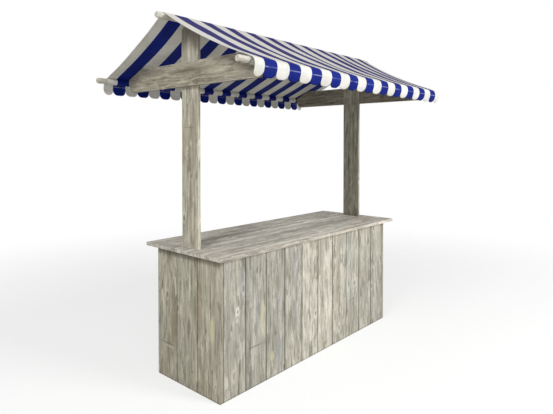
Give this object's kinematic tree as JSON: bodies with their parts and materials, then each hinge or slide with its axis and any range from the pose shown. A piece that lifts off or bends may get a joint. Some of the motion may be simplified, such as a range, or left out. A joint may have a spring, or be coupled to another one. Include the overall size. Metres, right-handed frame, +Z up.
{
  "type": "wooden market stall",
  "caption": "Wooden market stall: boarded counter with a plank worktop, gable posts and tie beams, round poles and a striped pitched cloth roof with scalloped valances.",
  "frame": {"origin": "on the ground, under the middle of the whole stall's box", "axes": "+X along the counter to the right as the customers see it, +Y from the customers' side to the seller's side, +Z up"},
  "size_m": [2.486, 1.51, 2.4333],
  "materials": {
    "boards": "grey washed, rough sawn and worn",
    "worktop": "grey washed, worn smooth with rounded edges",
    "frame_timber": "weathered grey, sawn",
    "inner_timber": "plain sawn",
    "poles": "whitewashed, slightly knobbly",
    "roof_cloth": "woven canvas, blue and white stripes"
  },
  "bodies": {
    "root": {"front_board_1": "boards", "front_board_2": "boards", "front_board_3": "boards", "front_board_4": "boards", "front_board_5": "boards", "front_board_6": "boards", "front_board_7": "boards", "front_board_8": "boards", "front_board_9": "boards", "front_board_10": "boards", "back_board_1": "boards", "back_board_2": "boards", "back_board_3": "boards", "back_board_4": "boards", "back_board_5": "boards", "back_board_6": "boards", "back_board_7": "boards", "back_board_8": "boards", "back_board_9": "boards", "back_board_10": "boards", "left_end_board_1": "boards", "left_end_board_2": "boards", "left_end_board_3": "boards", "right_end_board_1": "boards", "right_end_board_2": "boards", "right_end_board_3": "boards", "corner_battens": "inner_timber", "counter_rails": "inner_timber", "worktop_board_1": "worktop", "worktop_board_2": "worktop", "worktop_board_3": "worktop", "worktop_board_4": "worktop", "left_post": "frame_timber", "right_post": "frame_timber", "left_tie_beam": "frame_timber", "right_tie_beam": "frame_timber", "ridge_pole": "poles", "front_eave_pole": "poles", "back_eave_pole": "poles", "front_roof_cloth": "roof_cloth", "back_roof_cloth": "roof_cloth", "front_eave_cloth": "roof_cloth", "back_eave_cloth": "roof_cloth"}
  },
  "joints": []
}
